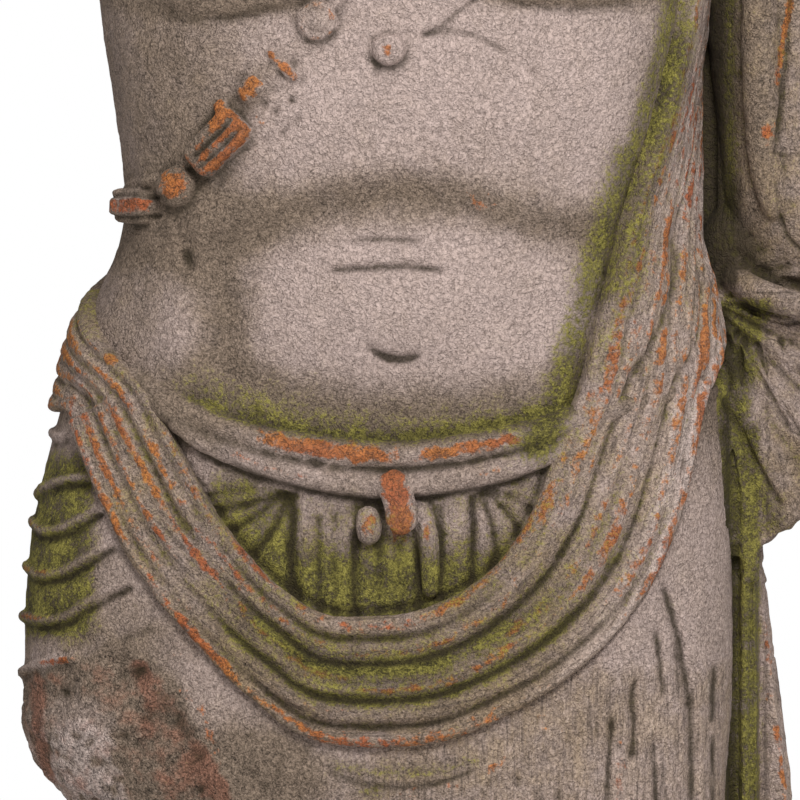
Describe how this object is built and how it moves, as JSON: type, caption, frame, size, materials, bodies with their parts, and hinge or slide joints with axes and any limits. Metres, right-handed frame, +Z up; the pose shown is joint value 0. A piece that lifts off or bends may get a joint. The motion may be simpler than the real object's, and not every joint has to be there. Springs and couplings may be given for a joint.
{
  "type": "male torso garden statue",
  "caption": "Free-standing fragment statue of a draped male torso without head, with broken arm and thigh, on a low rectangular base.",
  "frame": {"origin": "middle of the base's flat underside", "axes": "+Z up, -Y the way the figure faces, +X towards the figure's left side, which is the draped arm's side"},
  "size_m": [0.4712, 0.28, 0.84],
  "materials": {
    "cast_stone": "rough, pitted, weathered cast stone with moss and worn red-brown paint"
  },
  "bodies": {
    "root": {"torso_statue": "cast_stone"}
  },
  "joints": []
}
